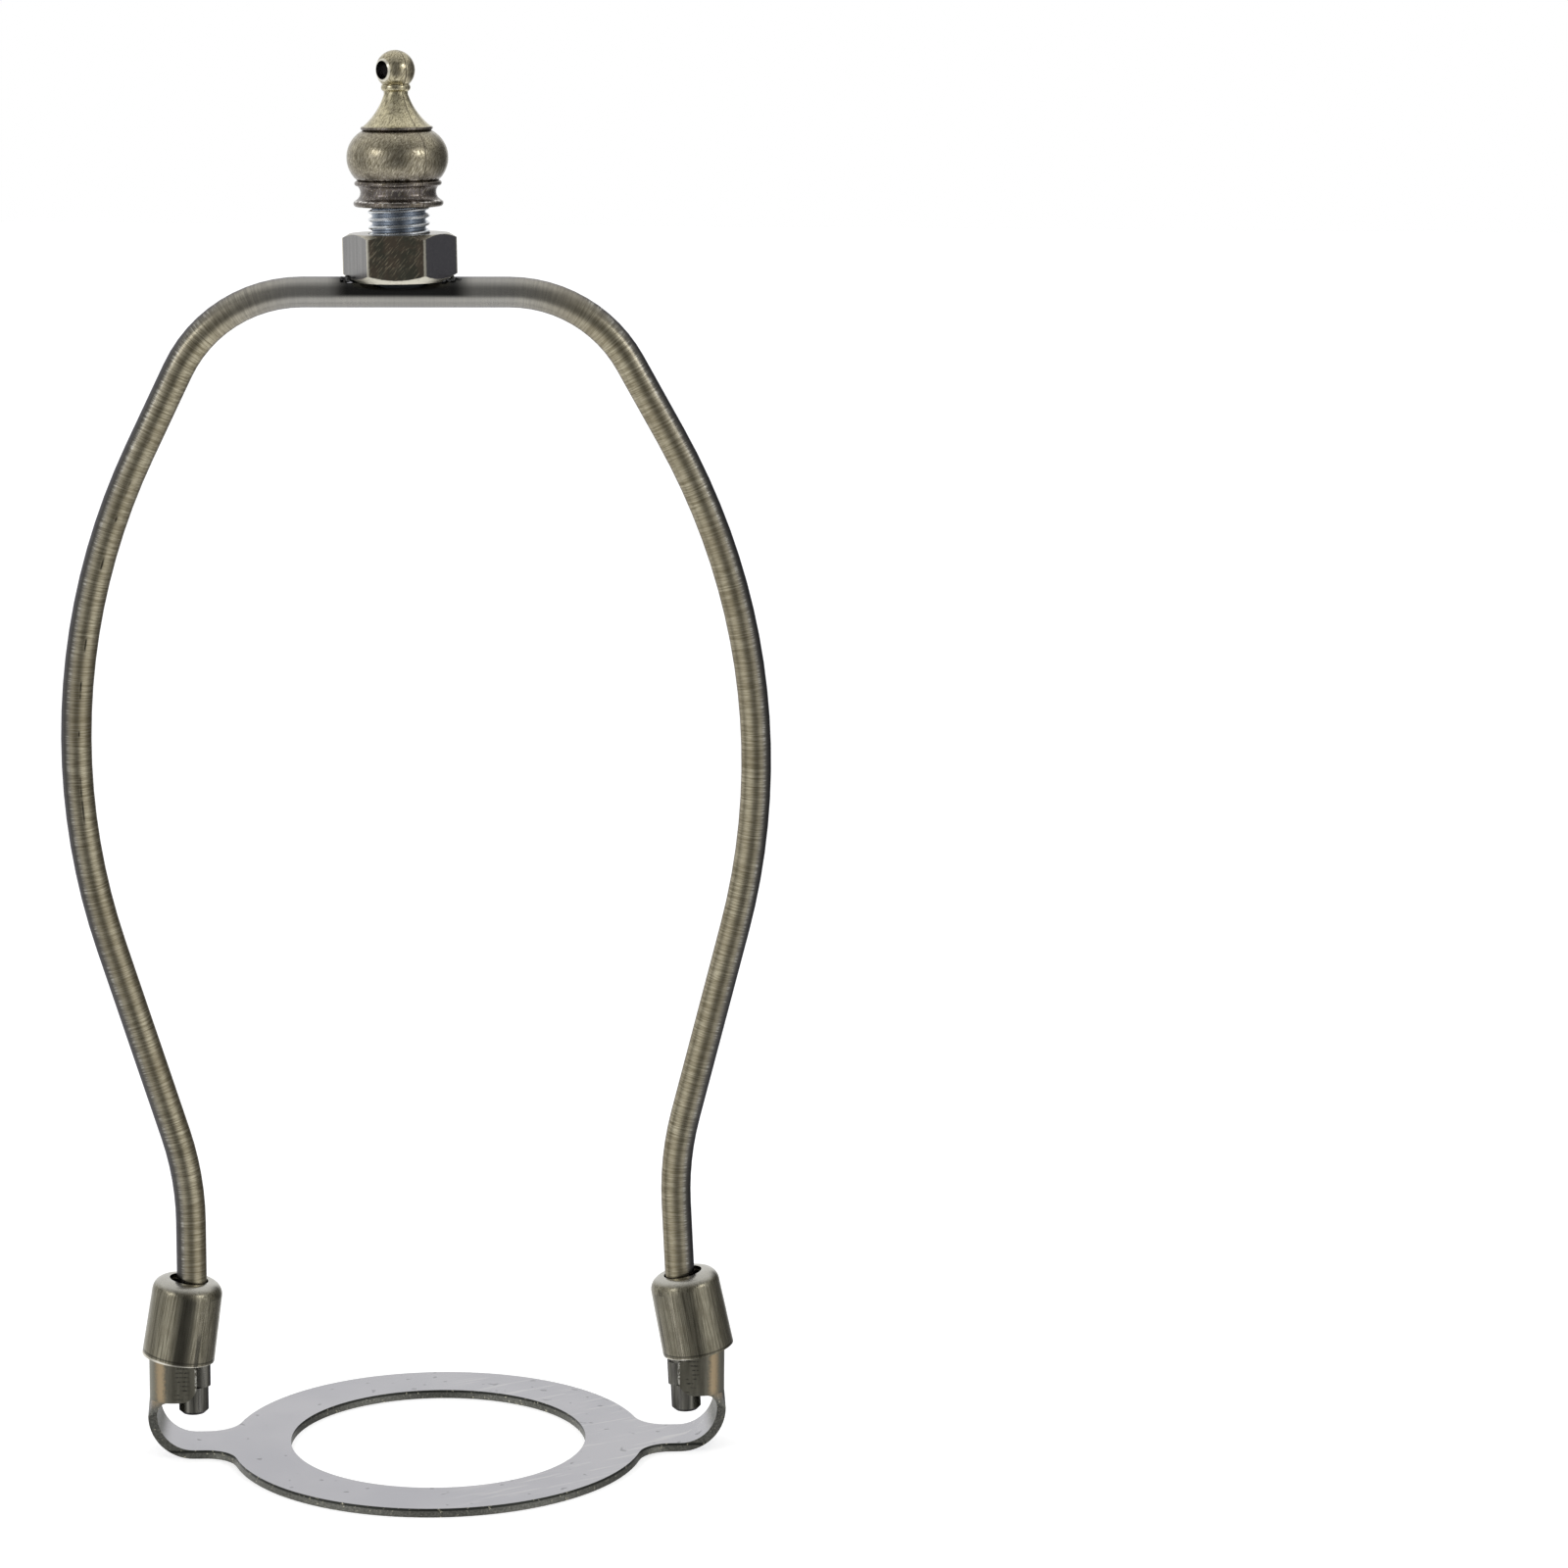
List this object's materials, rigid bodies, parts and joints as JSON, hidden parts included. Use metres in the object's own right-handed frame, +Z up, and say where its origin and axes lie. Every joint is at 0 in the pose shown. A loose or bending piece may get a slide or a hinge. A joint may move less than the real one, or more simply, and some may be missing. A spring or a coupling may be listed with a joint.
{
  "type": "lamp harp",
  "caption": "Lamp harp: a bent rod bow on a flat ring saddle, locked by sliding sleeves over folded ears, with a hex nut, threaded stud and turned finial on top.",
  "frame": {"origin": "centre of the saddle ring's hole, on the underside of the sheet", "axes": "+Z up, towards the finial. +X to the right across the bow, seen from the front. The front faces -Y."},
  "size_m": [0.0936, 0.056, 0.1876],
  "materials": {
    "saddle_finish": "satin",
    "bow_finish": "brushed",
    "nut_finish": "satin",
    "stud_finish": "zinc plated",
    "finial_finish": "aged casting",
    "sleeve_finish": "brushed"
  },
  "bodies": {
    "saddle": {"saddle": "saddle_finish"},
    "bow": {"bow": "bow_finish", "hex_nut": "nut_finish", "threaded_stud": "stud_finish"},
    "left_sleeve": {"left_sleeve": "sleeve_finish"},
    "right_sleeve": {"right_sleeve": "sleeve_finish"},
    "finial": {"finial": "finial_finish"}
  },
  "joints": [
    {"name": "bow_lift", "type": "slide", "parent": "saddle", "child": "bow", "axis": [0, 0, 1], "range_m": [0, 0.018]},
    {"name": "left_sleeve_slide", "type": "slide", "parent": "bow", "child": "left_sleeve", "axis": [-0.0018, 0, 1], "range_m": [0, 0.012]},
    {"name": "right_sleeve_slide", "type": "slide", "parent": "bow", "child": "right_sleeve", "axis": [-0.0545, 0, 0.9985], "range_m": [0, 0.012]},
    {"name": "finial_lift", "type": "slide", "parent": "bow", "child": "finial", "axis": [-0.0192, 0, 0.9998], "range_m": [0, 0.02]}
  ]
}
